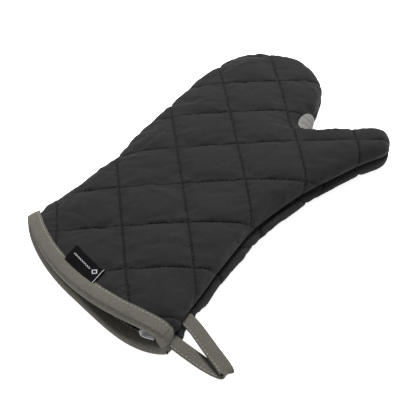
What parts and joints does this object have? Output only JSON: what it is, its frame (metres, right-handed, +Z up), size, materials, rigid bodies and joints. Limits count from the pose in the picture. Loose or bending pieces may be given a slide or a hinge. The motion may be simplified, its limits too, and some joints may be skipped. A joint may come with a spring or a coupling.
{
  "type": "oven mitt",
  "caption": "Long quilted oven mitt with a thumb, padded panels, bound mouth, web guard, flat hanging loop and two sewn labels.",
  "frame": {"origin": "centre of the bounding box's base, on the surface the mitt lies on", "axes": "+X to the thumb side, +Y from the mouth to the fingertips, +Z up through the mitt's thickness"},
  "size_m": [0.2503, 0.3843, 0.034],
  "materials": {
    "shell_fabric": "matt charcoal cotton twill",
    "batting": "loose off-white cotton wadding",
    "lining_fabric": "matt dark plain-weave cotton",
    "black_thread": "black polyester thread",
    "web_fabric": "light grey brushed cloth",
    "binding_tape": "matt taupe twill tape",
    "taupe_thread": "taupe polyester thread",
    "woven_label": "black satin weave with a white border motif",
    "care_label": "white satin ribbon"
  },
  "bodies": {
    "mitt": {"upper_shell": "shell_fabric", "upper_batting": "batting", "upper_lining": "lining_fabric", "lower_shell": "shell_fabric", "lower_batting": "batting", "lower_lining": "lining_fabric", "upper_quilting_thread": "black_thread", "lower_quilting_thread": "black_thread", "edge_seam_thread": "black_thread", "web_guard": "web_fabric", "cuff_binding": "binding_tape", "binding_thread": "taupe_thread"},
    "loop": {"hanging_loop": "binding_tape", "loop_thread": "taupe_thread"},
    "cuff_label": {"cuff_label": "woven_label"},
    "care_label": {"care_label": "care_label"}
  },
  "joints": [
    {"name": "loop_swing", "type": "hinge", "parent": "mitt", "child": "loop", "pos_m": [0.0749, -0.1628, 0.012], "axis": [0.2439, -0.9698, 0], "range_deg": [-15, 105]},
    {"name": "cuff_label_flap", "type": "hinge", "parent": "mitt", "child": "cuff_label", "pos_m": [-0.0118, -0.17503, 0.032], "axis": [0.9819, -0.189, -0.013], "range_deg": [0, 120]},
    {"name": "care_label_flap", "type": "hinge", "parent": "mitt", "child": "care_label", "pos_m": [0.065, -0.171, 0.0149], "axis": [0.266, -0.964, -0.003], "range_deg": [0, 15], "stiffness_Nm_per_rad": 0.0005}
  ]
}
